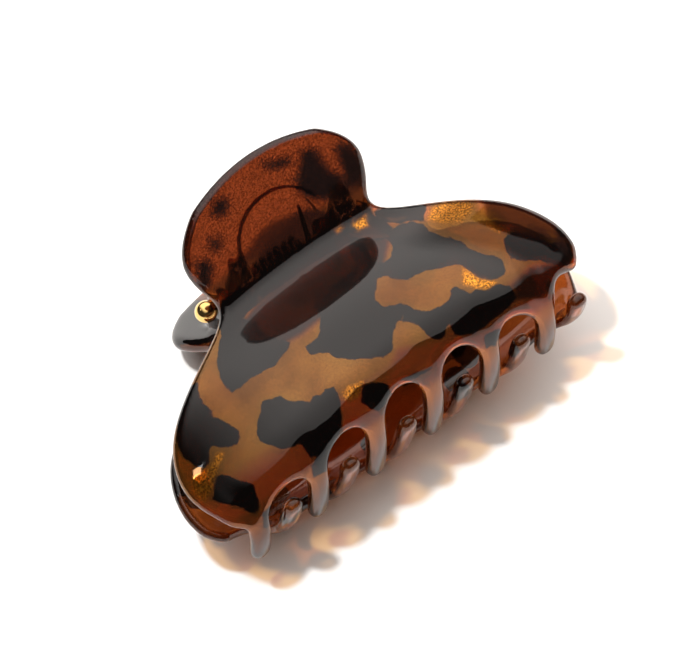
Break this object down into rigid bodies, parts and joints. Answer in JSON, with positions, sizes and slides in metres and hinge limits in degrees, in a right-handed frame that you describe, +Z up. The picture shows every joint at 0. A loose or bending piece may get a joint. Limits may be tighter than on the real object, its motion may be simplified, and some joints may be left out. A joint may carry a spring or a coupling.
{
  "type": "claw hair clip",
  "caption": "Large tortoiseshell claw hair clip: two domed, toothed jaw halves with thumb tabs, hinged on a sprung ball-ended pin.",
  "frame": {"origin": "middle of the floor under the clip as it lies on its back half", "axes": "+X along the hinge pin, which is the clip's length; the teeth point to -Y and the thumb tabs to +Y; +Z up"},
  "size_m": [0.088, 0.0586, 0.0511],
  "materials": {
    "tortoiseshell": "translucent amber moulded plastic with dark brown blotches, tumble polished",
    "pin_brass": "polished, gold toned",
    "spring_steel": "drawn wire"
  },
  "bodies": {
    "back": {"back_half": "tortoiseshell", "hinge_pin": "pin_brass", "spring_coil": "spring_steel"},
    "front": {"front_half": "tortoiseshell", "spring_leg": "spring_steel"}
  },
  "joints": [
    {"name": "jaw_hinge", "type": "hinge", "parent": "back", "child": "front", "pos_m": [0, 0.01355, 0.02388], "axis": [-1, 0, 0], "range_deg": [0, 75], "stiffness_Nm_per_rad": 0.115, "springref_deg": -40.11}
  ]
}
